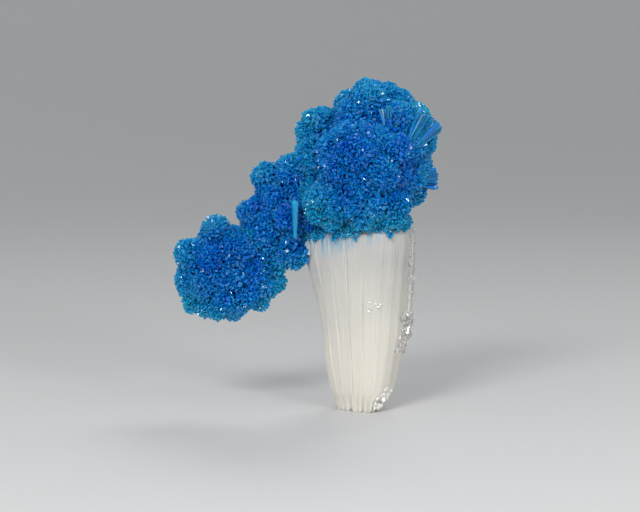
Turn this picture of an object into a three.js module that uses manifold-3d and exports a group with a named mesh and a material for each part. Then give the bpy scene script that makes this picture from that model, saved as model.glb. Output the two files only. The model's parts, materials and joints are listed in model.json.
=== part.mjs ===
// A cavansite specimen: sprays of blue cavansite crystals on the top and along one side of a white
// stilbite column. The column is a sheaf of upright blades that spreads upwards and ends in a broken
// foot, which is cut flat where it stood. Lengths are millimetres and angles are radians. +Z is up,
// +X is to the right of a viewer who looks along +Y, and the origin is the middle of the flat foot.

import * as THREE from 'three';
import { ConvexGeometry } from 'three/addons/geometries/ConvexGeometry.js';
import { mergeVertices } from 'three/addons/utils/BufferGeometryUtils.js';
import Module from 'manifold-3d';

const wasm = await Module();
wasm.setup();

// Driving dimensions of the column. Each ring of its outline gives a height, the left and right
// edges of the sheaf, and its whole depth. The right side is deeper than the left by a share.
const COLUMN_RINGS = [
  { z: 0, left: -3.4, right: 2.8, depth: 8.0 },
  { z: 1.3, left: -3.6, right: 2.9, depth: 8.3 },
  { z: 1.6, left: -3.7, right: 3.7, depth: 8.4 },
  { z: 3.2, left: -4.0, right: 4.1, depth: 8.7 },
  { z: 6.2, left: -4.6, right: 4.7, depth: 9.0 },
  { z: 9.4, left: -4.8, right: 5.9, depth: 9.4 },
  { z: 13.8, left: -5.8, right: 6.3, depth: 9.8 },
  { z: 18.2, left: -7.0, right: 6.4, depth: 10.2 },
  { z: 21.2, left: -7.0, right: 6.4, depth: 10.2 },
  { z: 23.8, left: -5.0, right: 5.0, depth: 7.4 },
];
const RIGHT_DEEPER = 0.3;
const COLUMN_BLADES = 20;
const BLADE_STEP = 0.1;
const BLADE_WANDER = 0.02;
const BLADE_GAP_ANGLE = 0.06;

// The middle blades run straight between these two rings. The outer ones follow the edges, and this
// power sets how quickly that fades towards the middle.
const STRAIGHT_FROM = 3;
const STRAIGHT_TO = 8;
const OUTER_FOLLOW = 3;

// The socket that the column's top leaves in the cavansite starts at this height and clears the
// column by this gap. Its rings have this many corners.
const SOCKET_FOOT = 9;
const SOCKET_GAP = 0.3;
const SOCKET_SIDES = 24;

// Small clear crystals on the column's right side: how many, how far up they go, how far they stand
// out, their size, the angle round the column that they cover, how far that angle lies to the front,
// how steeply they rise or fall, and the column's depth where they sit.
const CRUST_CRYSTALS = 15;
const CRUST_LOW = 7.6;
const CRUST_HIGH = 21.6;
const CRUST_STAND = 0.4;
const CRUST_LENGTH = 1.5;
const CRUST_WIDTH = 0.8;
const CRUST_THICKNESS_SHARE = 0.7;
const CRUST_SPREAD = 1.1;
const CRUST_TURN = 0.6;
const CRUST_RISE = 0.8;
const CRUST_DEPTH = 8.8;

// Chips broken out of the column's lower edge: a middle and a size for each.
const CHIPS = [
  { at: [3.9, -2.2, 0.7], size: 1.05 },
  { at: [2.9, -3.4, 2.6], size: 0.5 },
  { at: [3.5, -2.7, 1.9], size: 0.4 },
  { at: [-3.7, -1.8, 5.2], size: 0.5 },
  { at: [1.2, -3.6, 0.0], size: 0.45 },
  { at: [-1.6, -3.5, -0.1], size: 0.4 },
];

// Sprays of cavansite crystals. Each spray has a nucleus, the reach of its longest crystals and how
// deep it is, front to back, as a share of that reach.
const CROWN_SPRAYS = [
  { at: [0.5, -0.4, 29.4], reach: 7.6, depth: 1.0 },
  { at: [0.8, -0.6, 35.0], reach: 4.9, depth: 0.95 },
  { at: [-4.0, 0.0, 32.2], reach: 4.3, depth: 0.8 },
  { at: [-5.9, -0.6, 33.6], reach: 2.5, depth: 0.8 },
  { at: [-6.4, -0.4, 31.2], reach: 2.0, depth: 0.9 },
  { at: [4.0, -0.6, 33.0], reach: 5.5, depth: 0.85 },
  { at: [3.7, 0.2, 27.7], reach: 4.8, depth: 0.95 },
  { at: [-3.6, -0.4, 27.0], reach: 4.8, depth: 0.9 },
  { at: [-1.6, -4.4, 31.6], reach: 3.6, depth: 0.9 },
  { at: [3.0, -4.0, 30.6], reach: 3.8, depth: 0.9 },
  { at: [-3.9, -4.0, 24.7], reach: 3.4, depth: 0.9 },
  { at: [0.2, -4.4, 24.9], reach: 3.7, depth: 0.9 },
  { at: [3.3, -4.0, 24.9], reach: 3.3, depth: 0.9 },
  { at: [3.0, 4.4, 29.6], reach: 5.0, depth: 0.95 },
  { at: [3.2, 3.6, 25.4], reach: 3.7, depth: 0.95 },
  { at: [-3.4, 3.4, 25.0], reach: 3.8, depth: 0.9 },
  { at: [0.4, 4.4, 24.6], reach: 3.4, depth: 0.9 },
  { at: [3.4, 3.8, 33.4], reach: 4.6, depth: 0.95 },
  { at: [4.2, 6.6, 29.4], reach: 5.2, depth: 0.95 },
  { at: [4.2, 6.6, 32.8], reach: 4.2, depth: 0.95 },
  { at: [3.3, 6.0, 25.8], reach: 3.7, depth: 0.9 },
];
const ARM_SPRAYS = [
  { at: [-7.6, 0.0, 27.8], reach: 3.9, depth: 0.75 },
  { at: [-10.2, 0.0, 27.0], reach: 3.3, depth: 0.65 },
  { at: [-9.4, 0.0, 24.0], reach: 4.3, depth: 0.56 },
  { at: [-13.4, -0.4, 23.2], reach: 1.7, depth: 0.9 },
  { at: [-9.9, 0.0, 20.6], reach: 4.3, depth: 0.54 },
  { at: [-7.4, -0.4, 18.6], reach: 2.4, depth: 0.9 },
  { at: [-7.9, -1.2, 23.0], reach: 3.0, depth: 0.9 },
];
const ROSETTE_SPRAYS = [
  { at: [-16.2, 0.0, 16.6], reach: 6.2, depth: 0.35 },
  { at: [-19.8, -0.2, 18.3], reach: 3.1, depth: 0.6 },
  { at: [-17.0, -0.2, 20.8], reach: 2.6, depth: 0.6 },
  { at: [-13.2, 0.2, 19.0], reach: 3.6, depth: 0.6 },
  { at: [-19.4, -0.2, 13.4], reach: 2.6, depth: 0.6 },
  { at: [-16.2, -0.3, 13.0], reach: 2.8, depth: 0.65 },
  { at: [-12.9, -0.3, 14.2], reach: 3.2, depth: 0.6 },
  { at: [-11.4, 0.0, 15.8], reach: 2.8, depth: 0.6 },
];

// Single crystals that stand out from the sprays: from, to, width and thickness.
const LONE_CRYSTALS = [
  { from: [-8.0, -3.4, 20.8], to: [-8.0, -4.7, 25.2], width: 1.0, thickness: 1.4 },
  { from: [2.5, -1.2, 29.4], to: [9.4, -1.6, 33.5], width: 1.5, thickness: 2.4 },
];

// How a spray is built: how far out its valleys lie, how far its tips reach, as shares of the
// spray's reach, and the reach from which it shows more and smaller tips.
const VALLEY_SHARE = 0.78;
const VALLEY_WANDER = 0.05;
const TIP_LEAST = 0.9;
const TIP_MOST = 1.06;
const TIP_OFF_CENTRE = 0.3;
const FINE_REACH = 4.55;
const TIP_CLEARANCE = 1;

// Prisms among the tips: how many a spray has, how far they reach, and their width and thickness.
const PRISMS_PER_SPRAY = 3;
const PRISM_LEAST = 0.98;
const PRISM_MOST = 1.06;
const PRISM_ROOT = 0.45;
const PRISM_WIDTH = 0.5;
const PRISM_WIDTH_MORE = 0.12;
const PRISM_THICKNESS_SHARE = 0.7;
const PRISM_ROOT_SHARE = 0.6;

// A crystal ends in a chisel edge: how far below it the shoulder lies and how long the edge is, as
// shares of the crystal's width. Crystals of one kind vary in size between these two shares.
const CHISEL_SHARE = 0.5;
const EDGE_SHARE = 0.5;
const SIZE_LEAST = 0.8;
const SIZE_MOST = 1.2;

const BLUE = new THREE.MeshStandardMaterial({ color: 0x0a5fb4, roughness: 0.2, metalness: 0 });
const WHITE = new THREE.MeshStandardMaterial({ color: 0xe2dfd3, roughness: 0.5, metalness: 0 });

// A repeatable random number from 0 to 1.
function seededRandom(seed) {
  let state = seed;
  return () => {
    state = (state + 0x6d2b79f5) | 0;
    let mixed = Math.imul(state ^ (state >>> 15), 1 | state);
    mixed = (mixed + Math.imul(mixed ^ (mixed >>> 7), 61 | mixed)) ^ mixed;
    return ((mixed ^ (mixed >>> 14)) >>> 0) / 4294967296;
  };
}

function toSolid(geometry) {
  const bare = geometry.clone();
  bare.deleteAttribute('normal');
  bare.deleteAttribute('uv');
  const merged = mergeVertices(bare, 1e-4);
  return new wasm.Manifold(new wasm.Mesh({
    numProp: 3,
    vertProperties: new Float32Array(merged.attributes.position.array),
    triVerts: new Uint32Array(merged.index.array),
  }));
}

function toMesh(solid, name, material) {
  const { vertProperties, triVerts } = solid.getMesh();
  const geometry = new THREE.BufferGeometry();
  geometry.setAttribute('position', new THREE.BufferAttribute(vertProperties, 3));
  geometry.setIndex(new THREE.BufferAttribute(triVerts, 1));
  geometry.computeVertexNormals();
  const mesh = new THREE.Mesh(geometry, material);
  mesh.name = name;
  return mesh;
}

function join(solids) {
  return solids.reduce((whole, solid) => whole.add(solid));
}

// One crystal: a flat-sided prism from its root to a chisel edge, wider across than it is thick.
function crystal(root, tip, across, width, thickness) {
  const along = tip.clone().sub(root).normalize();
  const through = across.clone().cross(along).normalize();
  const level = across.clone().addScaledVector(along, -across.dot(along)).normalize();
  const shoulder = tip.clone().addScaledVector(along, -CHISEL_SHARE * width);
  const points = [];
  for (const [centre, share] of [[root, PRISM_ROOT_SHARE], [shoulder, 1]]) {
    for (const [side, face] of [[-1, -1], [1, -1], [1, 1], [-1, 1]]) {
      points.push(centre.clone()
        .addScaledVector(level, side * share * width / 2)
        .addScaledVector(through, face * share * thickness / 2));
    }
  }
  for (const side of [-1, 1]) {
    points.push(tip.clone().addScaledVector(level, side * EDGE_SHARE * width / 2));
  }
  return toSolid(new ConvexGeometry(points));
}

// Even directions over a sphere, in a golden spiral.
function spiralDirections(count) {
  const turn = Math.PI * (3 - Math.sqrt(5));
  return Array.from({ length: count }, (_, i) => {
    const height = 1 - (2 * i + 1) / count;
    const radius = Math.sqrt(1 - height * height);
    return new THREE.Vector3(radius * Math.cos(turn * i), height, radius * Math.sin(turn * i));
  });
}

// A point given as a share of a spray's reach, in its real place.
function inPlace(point, { at, reach, depth }) {
  const size = new THREE.Vector3(reach, reach * depth, reach);
  return point.clone().multiply(size).add(new THREE.Vector3(...at));
}

// Whether a point lies outside the other sprays, where 1 is the full reach of a spray.
function isClear(point, others, least) {
  return others.every(({ at, reach, depth }) => {
    const offset = point.clone().sub(new THREE.Vector3(...at));
    offset.y /= depth;
    return offset.length() > least * reach;
  });
}

// The body of a spray: a ball whose facets are raised to three-sided crystal tips, apart from those
// that would run into another spray.
function sprayBody(spray, others, random) {
  const ball = new THREE.IcosahedronGeometry(1, spray.reach > FINE_REACH ? 2 : 1);
  ball.deleteAttribute('normal');
  ball.deleteAttribute('uv');
  const { attributes: { position }, index } = mergeVertices(ball, 1e-4);
  const corners = Array.from({ length: position.count }, (_, i) => (
    new THREE.Vector3().fromBufferAttribute(position, i)
      .multiplyScalar(VALLEY_SHARE + VALLEY_WANDER * (random() - 0.5))
  ));
  const points = [...corners];
  const triangles = [];
  for (let i = 0; i < index.count; i += 3) {
    const face = [index.getX(i), index.getX(i + 1), index.getX(i + 2)];
    const weights = face.map(() => 1 - TIP_OFF_CENTRE + 2 * TIP_OFF_CENTRE * random());
    const tip = new THREE.Vector3();
    face.forEach((corner, side) => tip.addScaledVector(corners[corner], weights[side]));
    tip.setLength(THREE.MathUtils.lerp(TIP_LEAST, TIP_MOST, random()));
    if (isClear(inPlace(tip, spray), others, TIP_CLEARANCE)) {
      face.forEach((corner, side) => triangles.push(corner, face[(side + 1) % 3], points.length));
      points.push(tip);
    } else {
      triangles.push(...face);
    }
  }
  const placed = points.map((point) => inPlace(point, spray));
  const geometry = new THREE.BufferGeometry().setFromPoints(placed);
  geometry.setIndex(triangles);
  return toSolid(geometry);
}

function sprayPrisms(spray, others, random) {
  const prisms = [];
  for (const direction of spiralDirections(PRISMS_PER_SPRAY)) {
    const reach = THREE.MathUtils.lerp(PRISM_LEAST, PRISM_MOST, random());
    const size = THREE.MathUtils.lerp(SIZE_LEAST, SIZE_MOST, random());
    const width = (PRISM_WIDTH + PRISM_WIDTH_MORE * spray.reach) * size;
    const across = new THREE.Vector3(random() - 0.5, random() - 0.5, random() - 0.5);
    const tip = inPlace(direction.clone().multiplyScalar(reach), spray);
    const root = inPlace(direction.clone().multiplyScalar(PRISM_ROOT), spray);
    if (isClear(tip, others, 1)) {
      prisms.push(crystal(root, tip, across, width, width * PRISM_THICKNESS_SHARE));
    }
  }
  return prisms;
}

// A point on the column's outer form, at an angle round one of its rings.
function ringPoint(ring, angle) {
  const [low, high] = [COLUMN_RINGS[STRAIGHT_FROM], COLUMN_RINGS[STRAIGHT_TO]];
  const rise = (ring.z - low.z) / (high.z - low.z);
  const edge = Math.cos(angle);
  const side = edge < 0 ? 'left' : 'right';
  const straight = THREE.MathUtils.lerp(low[side], high[side], rise);
  const follows = ring.z > low.z && ring.z < high.z ? Math.abs(edge) ** OUTER_FOLLOW : 1;
  return {
    x: Math.abs(edge) * THREE.MathUtils.lerp(straight, ring[side], follows),
    y: ring.depth / 2 * Math.sin(angle) * (1 + RIGHT_DEEPER * edge),
    z: ring.z,
  };
}

// The sheaf: each blade has a flat outer face, and stands a little in or out of its neighbours.
function columnSheaf(random) {
  const stand = Array.from({ length: COLUMN_BLADES }, () => 1 - BLADE_STEP * random());
  const positions = [];
  const triangles = [];
  const points = 2 * COLUMN_BLADES;
  for (const ring of COLUMN_RINGS) {
    for (let blade = 0; blade < COLUMN_BLADES; blade += 1) {
      const share = stand[blade] - BLADE_WANDER * random();
      for (const side of [BLADE_GAP_ANGLE, 1 - BLADE_GAP_ANGLE]) {
        const edge = ringPoint(ring, 2 * Math.PI * (blade + side) / COLUMN_BLADES);
        positions.push(edge.x * share, edge.y * share, edge.z);
      }
    }
  }
  for (let ring = 0; ring + 1 < COLUMN_RINGS.length; ring += 1) {
    for (let point = 0; point < points; point += 1) {
      const next = (point + 1) % points;
      const low = ring * points;
      const high = low + points;
      triangles.push(low + point, low + next, high + next);
      triangles.push(low + point, high + next, high + point);
    }
  }
  const last = COLUMN_RINGS.length - 1;
  for (const [ring, upwards] of [[0, false], [last, true]]) {
    const { z } = COLUMN_RINGS[ring];
    const hub = positions.length / 3;
    positions.push(0, 0, z);
    for (let point = 0; point < points; point += 1) {
      const here = ring * points + point;
      const next = ring * points + (point + 1) % points;
      triangles.push(hub, upwards ? here : next, upwards ? next : here);
    }
  }
  const geometry = new THREE.BufferGeometry();
  geometry.setAttribute('position', new THREE.Float32BufferAttribute(positions, 3));
  geometry.setIndex(triangles);
  return toSolid(geometry);
}

// The column's right edge at a height, between the rings above and below it.
function rightEdge(height) {
  const above = COLUMN_RINGS.findIndex(({ z }) => z > height);
  const [low, high] = [COLUMN_RINGS[above - 1], COLUMN_RINGS[above]];
  return THREE.MathUtils.mapLinear(height, low.z, high.z, low.right, high.right);
}

function crustCrystals(random) {
  return Array.from({ length: CRUST_CRYSTALS }, (_, i) => {
    const z = THREE.MathUtils.lerp(CRUST_LOW, CRUST_HIGH, (i + random()) / CRUST_CRYSTALS);
    const angle = CRUST_SPREAD * (random() - CRUST_TURN);
    const rise = CRUST_RISE * (random() - 0.5);
    const aim = new THREE.Vector3(Math.cos(angle), Math.sin(angle), rise).normalize();
    const edge = ringPoint({ z, left: 0, right: rightEdge(z), depth: CRUST_DEPTH }, angle);
    const stand = CRUST_STAND * THREE.MathUtils.lerp(SIZE_LEAST, 1, random());
    const tip = new THREE.Vector3(edge.x, edge.y, z).addScaledVector(aim, stand);
    const root = tip.clone().addScaledVector(aim, -CRUST_LENGTH);
    const width = CRUST_WIDTH * THREE.MathUtils.lerp(SIZE_LEAST, SIZE_MOST, random());
    const upright = new THREE.Vector3(0, random() - 0.5, 1);
    return crystal(root, tip, upright, width, width * CRUST_THICKNESS_SHARE);
  });
}

function chipSolid({ at, size }) {
  const chip = new THREE.IcosahedronGeometry(size, 0);
  chip.translate(...at);
  return toSolid(chip);
}

// The plain outer form of the column, grown by a gap.
function columnOutline(gap) {
  const points = [];
  for (const ring of COLUMN_RINGS.filter(({ z }) => z >= SOCKET_FOOT)) {
    const grown = { z: ring.z, left: ring.left - gap, right: ring.right + gap, depth: ring.depth + 2 * gap };
    grown.z += ring === COLUMN_RINGS.at(-1) ? gap : 0;
    for (let i = 0; i < SOCKET_SIDES; i += 1) {
      const { x, y, z } = ringPoint(grown, 2 * Math.PI * i / SOCKET_SIDES);
      points.push(new THREE.Vector3(x, y, z));
    }
  }
  return toSolid(new ConvexGeometry(points));
}

function makeColumn() {
  const random = seededRandom(31);
  const sheaf = join([columnSheaf(random), ...crustCrystals(random)]);
  return CHIPS.reduce((whole, chip) => whole.subtract(chipSolid(chip)), sheaf);
}

function makeCavansite() {
  const random = seededRandom(7);
  const sprays = [...CROWN_SPRAYS, ...ARM_SPRAYS, ...ROSETTE_SPRAYS];
  const solids = sprays.flatMap((spray) => {
    const others = sprays.filter((other) => other !== spray);
    return [sprayBody(spray, others, random), ...sprayPrisms(spray, others, random)];
  });
  const lone = LONE_CRYSTALS.map(({ from, to, width, thickness }) => crystal(
    new THREE.Vector3(...from), new THREE.Vector3(...to), new THREE.Vector3(0, 0, 1), width, thickness,
  ));
  return join([...solids, ...lone]).subtract(columnOutline(SOCKET_GAP));
}

const specimen = new THREE.Group();
specimen.add(toMesh(makeColumn(), 'stilbite_column', WHITE));
specimen.add(toMesh(makeCavansite(), 'cavansite', BLUE));

export default specimen;
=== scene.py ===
# %% [markdown]
# # A cavansite specimen on a stilbite column
# Cavansite is a rare blue mineral that grows in cavities of old lava. Its crystals start from one
# point and grow outwards, so they end up as rosettes. Here they grew over the top and down one side
# of a white stilbite crystal. This lesson builds the blue rosettes out of thousands of small
# crystals, shapes the white column as one mesh with upright grooves, and lights both softly.
#
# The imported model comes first. It is the frame that fixes the size and place of everything.

# %% Load the frame
import json
import math

import bmesh
import bpy
import numpy as np
from mathutils import Matrix, Vector

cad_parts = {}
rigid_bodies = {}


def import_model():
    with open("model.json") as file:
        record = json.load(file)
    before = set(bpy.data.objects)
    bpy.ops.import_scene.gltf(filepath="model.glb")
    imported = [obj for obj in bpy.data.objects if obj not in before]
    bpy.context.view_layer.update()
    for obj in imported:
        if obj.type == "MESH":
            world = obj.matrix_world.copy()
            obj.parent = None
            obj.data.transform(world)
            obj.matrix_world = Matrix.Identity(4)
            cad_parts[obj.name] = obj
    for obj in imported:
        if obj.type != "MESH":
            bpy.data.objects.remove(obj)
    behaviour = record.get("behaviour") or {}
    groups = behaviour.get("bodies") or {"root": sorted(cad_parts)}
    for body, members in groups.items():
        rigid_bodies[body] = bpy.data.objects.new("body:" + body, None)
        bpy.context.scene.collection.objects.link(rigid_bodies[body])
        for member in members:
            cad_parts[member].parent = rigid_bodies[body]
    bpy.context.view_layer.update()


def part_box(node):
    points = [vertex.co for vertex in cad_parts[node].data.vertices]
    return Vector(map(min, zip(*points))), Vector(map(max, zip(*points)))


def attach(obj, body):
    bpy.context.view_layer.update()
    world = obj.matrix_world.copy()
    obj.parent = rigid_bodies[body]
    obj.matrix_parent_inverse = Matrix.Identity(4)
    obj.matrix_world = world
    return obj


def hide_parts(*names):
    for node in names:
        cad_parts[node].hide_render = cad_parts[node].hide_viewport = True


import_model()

MM = 0.001
column_low, column_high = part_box("stilbite_column")
blue_low, blue_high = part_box("cavansite")
print("column", [round(v / MM, 1) for v in (*column_low, *column_high)])
print("cavansite", [round(v / MM, 1) for v in (*blue_low, *blue_high)])

# %% [markdown]
# ## The sprays
# A spray is a ball of crystals that all grew from one nucleus. The big crown on the column is many
# sprays that grew into each other, and so are the arm and the rosette at its end. A few numbers say
# where each spray starts, how far it reaches, and how flat it is from front to back. They are the
# same sprays as the solid model has, so the fine crystals end where its tips do.

# %% The table of sprays
CROWN_SPRAYS = [
    ((0.5, -0.4, 29.4), 7.6, 1.00),
    ((0.8, -0.6, 35.0), 4.9, 0.95),
    ((-4.0, 0.0, 32.2), 4.3, 0.80),
    ((-5.9, -0.6, 33.6), 2.5, 0.80),
    ((-6.4, -0.4, 31.2), 2.0, 0.90),
    ((4.0, -0.6, 33.0), 5.5, 0.85),
    ((3.7, 0.2, 27.7), 4.8, 0.95),
    ((-3.6, -0.4, 27.0), 4.8, 0.90),
    ((-1.6, -4.4, 31.6), 3.6, 0.90),
    ((3.0, -4.0, 30.6), 3.8, 0.90),
    ((-3.9, -4.0, 24.7), 3.4, 0.90),
    ((0.2, -4.4, 24.9), 3.7, 0.90),
    ((3.3, -4.0, 24.9), 3.3, 0.90),
    ((3.0, 4.4, 29.6), 5.0, 0.95),
    ((3.2, 3.6, 25.4), 3.7, 0.95),
    ((-3.4, 3.4, 25.0), 3.8, 0.90),
    ((0.4, 4.4, 24.6), 3.4, 0.90),
    ((3.4, 3.8, 33.4), 4.6, 0.95),
    ((4.2, 6.6, 29.4), 5.2, 0.95),
    ((4.2, 6.6, 32.8), 4.2, 0.95),
    ((3.3, 6.0, 25.8), 3.7, 0.90),
]
ARM_SPRAYS = [
    ((-7.6, 0.0, 27.8), 3.9, 0.75),
    ((-10.2, 0.0, 27.0), 3.3, 0.65),
    ((-9.4, 0.0, 24.0), 4.3, 0.56),
    ((-13.4, -0.4, 23.2), 1.7, 0.90),
    ((-9.9, 0.0, 20.6), 4.3, 0.54),
    ((-7.4, -0.4, 18.6), 2.4, 0.90),
    ((-7.9, -1.2, 23.0), 3.0, 0.90),
]
ROSETTE_SPRAYS = [
    ((-16.2, 0.0, 16.6), 6.2, 0.35),
    ((-19.8, -0.2, 18.3), 3.1, 0.60),
    ((-17.0, -0.2, 20.8), 2.6, 0.60),
    ((-13.2, 0.2, 19.0), 3.6, 0.60),
    ((-19.4, -0.2, 13.4), 2.6, 0.60),
    ((-16.2, -0.3, 13.0), 2.8, 0.65),
    ((-12.9, -0.3, 14.2), 3.2, 0.60),
    ((-11.4, 0.0, 15.8), 2.8, 0.60),
]
GROUPS = {"crown": CROWN_SPRAYS, "arm": ARM_SPRAYS, "rosette": ROSETTE_SPRAYS}
ALL_SPRAYS = [spray for group in GROUPS.values() for spray in group]
print(len(ALL_SPRAYS), "sprays in", len(GROUPS), "groups")

# %% [markdown]
# ## The outline of the column
# The column is a sheaf that spreads upwards. A table of rings gives its left and right edges and its
# depth at some heights. One function turns a height and an angle into a point on its outline, and
# another tells how far out a point lies, where 1 is the outline itself.

# %% Describe the column
# Each ring: its height, how far its left and right edges are from the axis, and its depth, in mm.
COLUMN_RINGS = np.array([
    (0.0, 3.4, 2.8, 8.0),
    (1.3, 3.6, 2.9, 8.3),
    (1.6, 3.7, 3.7, 8.4),
    (3.2, 4.0, 4.1, 8.7),
    (6.2, 4.6, 4.7, 9.0),
    (9.4, 4.8, 5.9, 9.4),
    (13.8, 5.8, 6.3, 9.8),
    (18.2, 7.0, 6.4, 10.2),
    (21.2, 7.0, 6.4, 10.2),
    (23.8, 5.0, 5.0, 7.4),
])
COLUMN_TOP = COLUMN_RINGS[-1, 0]
# The depth grows towards the right edge and shrinks towards the left one by up to this share.
RIGHT_DEEPER = 0.3
# Between these two rings the front and the back run straight, and only the edges follow the table.
STRAIGHT_LOW, STRAIGHT_HIGH = COLUMN_RINGS[3], COLUMN_RINGS[8]
EDGE_POWER = 3


def ring_sizes(z):
    """The left edge, the right edge and the depth of the column at a height, in mm."""
    return [np.interp(z, COLUMN_RINGS[:, 0], COLUMN_RINGS[:, i]) for i in (1, 2, 3)]


def column_outline(z, angle):
    """The x and y of the column's outline at a height and an angle, in mm."""
    edge = np.cos(angle)
    left, right, depth = ring_sizes(z)
    rise = (z - STRAIGHT_LOW[0]) / (STRAIGHT_HIGH[0] - STRAIGHT_LOW[0])
    column = np.where(edge < 0, 1, 2)
    straight = STRAIGHT_LOW[column] + rise * (STRAIGHT_HIGH - STRAIGHT_LOW)[column]
    follows = np.where((rise > 0) & (rise < 1), np.abs(edge) ** EDGE_POWER, 1.0)
    side = straight + (np.where(edge < 0, left, right) - straight) * follows
    return edge * side, depth / 2 * np.sin(angle) * (1 + RIGHT_DEEPER * edge)


def column_share(points):
    """How far out from the column's axis points are: 1 is its outline. Above its top it is endless."""
    x, y, z = points[:, 0], points[:, 1], points[:, 2]
    left, right, depth = ring_sizes(z)
    across = np.clip(x / np.where(x < 0, left, right), -2, 2)
    through = y / (depth / 2 * (1 + RIGHT_DEEPER * np.clip(across, -1, 1)))
    return np.where(z < COLUMN_TOP, np.hypot(across, through), np.inf)


print("the column is", COLUMN_TOP, "mm high under the crown")

# %% [markdown]
# ## One skin over all the sprays
# Geometry Nodes can scatter things over a mesh, so the crystals' tips need a surface to lie on. It is
# made of one ball per spray, and a voxel remesh merges the balls into a single closed skin. Later a
# smaller one of the same form gives the body that shows between the crystals, darkened with painted
# shade.

# %% Helpers for meshes


def link_object(name, data):
    """A new object around a mesh, a lamp or a camera, linked to the scene."""
    thing = bpy.data.objects.new(name, data)
    bpy.context.scene.collection.objects.link(thing)
    return thing


def link_mesh(name, vertices, faces):
    """A mesh object made from points in mm and faces, linked to the scene."""
    mesh = bpy.data.meshes.new(name)
    mesh.from_pydata((np.asarray(vertices) * MM).tolist(), [], faces)
    return link_object(name, mesh)


def mesh_of(shape, name):
    """The mesh of a bmesh, which is freed."""
    mesh = bpy.data.meshes.new(name)
    shape.to_mesh(mesh)
    shape.free()
    return mesh


def loft_faces(rings, around, closed=True):
    """The side faces of a loft with this many rings, and points round each."""
    return [
        (
            r * around + i, r * around + (i + 1) % around,
            (r + 1) * around + (i + 1) % around, (r + 1) * around + i,
        )
        for r in range(rings - 1) for i in range(around if closed else around - 1)
    ]


def evaluated_mesh(thing):
    """The mesh of an object with its modifiers applied."""
    bpy.context.view_layer.update()
    graph = bpy.context.evaluated_depsgraph_get()
    return bpy.data.meshes.new_from_object(
        thing.evaluated_get(graph), preserve_all_data_layers=True, depsgraph=graph
    )


# %% Merge balls into a skin
SKIN_INSET = 0.25
SKIN_VOXEL = 0.26
BALL_SUBDIVISIONS = 3


def merged_balls(inset, name):
    """An object with a live voxel remesh of one ball per spray, each smaller than it by an inset."""
    balls = bmesh.new()
    for at, reach, depth in ALL_SPRAYS:
        size = (reach - inset) * MM
        place = Matrix.Translation(Vector(at) * MM)
        place @= Matrix.Diagonal((size, (reach * depth - inset) * MM, size, 1))
        bmesh.ops.create_icosphere(balls, subdivisions=BALL_SUBDIVISIONS, radius=1, matrix=place)
    thing = link_object(name, mesh_of(balls, name))
    merge = thing.modifiers.new("Merge", "REMESH")
    merge.mode = "VOXEL"
    merge.voxel_size = SKIN_VOXEL * MM
    return thing


balls = merged_balls(SKIN_INSET, "balls")
skin_mesh = evaluated_mesh(balls)
bpy.data.objects.remove(balls)
skin_points = np.array([v.co[:] for v in skin_mesh.vertices]) / MM
skin_normals = np.array([v.normal[:] for v in skin_mesh.vertices])
skin_faces = np.array([f.vertices[:] for f in skin_mesh.polygons])
print(len(skin_points), "points and", len(skin_faces), "faces on the skin")

# %% [markdown]
# ## Tufts on the skin
# Close up, a spray isn't a smooth ball. Its crystals branch into small tufts, each with a nucleus of
# its own under the surface, so the surface is a crowd of little fans. Here tufts are dropped on the
# skin one by one, each at least a spacing from the others. The skin bulges over each tuft and sinks
# between them. Every point of it belongs to the nearest tuft and remembers three things: where its
# crystal starts, how far the tuft reaches, and a rim value for its colour. The rim value is painted
# rim light: crystals are tinted paler near the outline of their group as seen from the front, where
# they are thin and light shines through them, and a random shade per tuft makes some tufts paler
# than others.

# %% Drop the tufts
TUFT_SPACING = 3.0
TUFT_REACH_LEAST = 1.2
TUFT_REACH_MOST = 1.9
TUFT_RISE = 0.45
TUFT_SHADE = 0.2
SKIN_SEED = 11


def drop_tufts(rng):
    """The numbers of the skin's points that carry a tuft."""
    chosen = []
    for point in rng.permutation(len(skin_points)):
        apart = skin_points[chosen] - skin_points[point]
        if not chosen or (apart ** 2).sum(axis=1).min() > TUFT_SPACING ** 2:
            chosen.append(point)
    return np.array(chosen)


rng = np.random.default_rng(SKIN_SEED)
tufts = drop_tufts(rng)
tuft_tips = skin_points[tufts]
reaches = rng.uniform(TUFT_REACH_LEAST, TUFT_REACH_MOST, len(tufts))
rises = rng.uniform(-TUFT_RISE, TUFT_RISE, len(tufts))
shades = rng.uniform(-TUFT_SHADE, TUFT_SHADE, len(tufts))
nuclei = tuft_tips - skin_normals[tufts] * reaches[:, None]
nearest = np.array([((tuft_tips - point) ** 2).sum(axis=1).argmin() for point in skin_points])
print(len(tufts), "tufts")

# %% Where the groups and the crown's hem are
HEM_HEIGHT = 21.3
HEM_SLOPE = 0.12
HEM_WANDER = 0.5
HEM_WAVES = ((2.1, 1.0), (0.9, 2.0))
# Each group as seen from the front, for the painted rim light: the x and z of its middle, and its
# radius.
RIMS = {"crown": ((0.5, 30.6), 9.2), "arm": ((-8.5, 23.4), 8.0), "rosette": ((-16.0, 16.8), 6.6)}
RIM_START, RIM_BAND = 0.55, 0.45


def rim_light_share(points, group):
    """0 in a group's middle seen from the front, and 1 on its outline, where rim light is painted."""
    (middle_x, middle_z), radius = RIMS[group]
    distance = np.hypot(points[:, 0] - middle_x, points[:, 2] - middle_z) / radius
    return np.clip((distance - RIM_START) / RIM_BAND, 0, 1)


def hem_height(x):
    """The height in mm where the crown's crystals stop on the column: lower on the left."""
    wander = HEM_WANDER
    for rate, start in HEM_WAVES:
        wander = wander * np.sin(rate * x + start)
    return HEM_HEIGHT + HEM_SLOPE * x + wander


def group_of(points):
    """The number of the group that each point belongs to, by its nearest spray."""
    near = np.full(len(points), np.inf)
    group = np.zeros(len(points), int)
    for number, sprays in enumerate(GROUPS.values()):
        for at, reach, depth in sprays:
            offset = (points - np.array(at)) / np.array([reach, reach * depth, reach])
            distance = np.linalg.norm(offset, axis=1)
            group[distance < near] = number
            near = np.minimum(near, distance)
    return group


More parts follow.
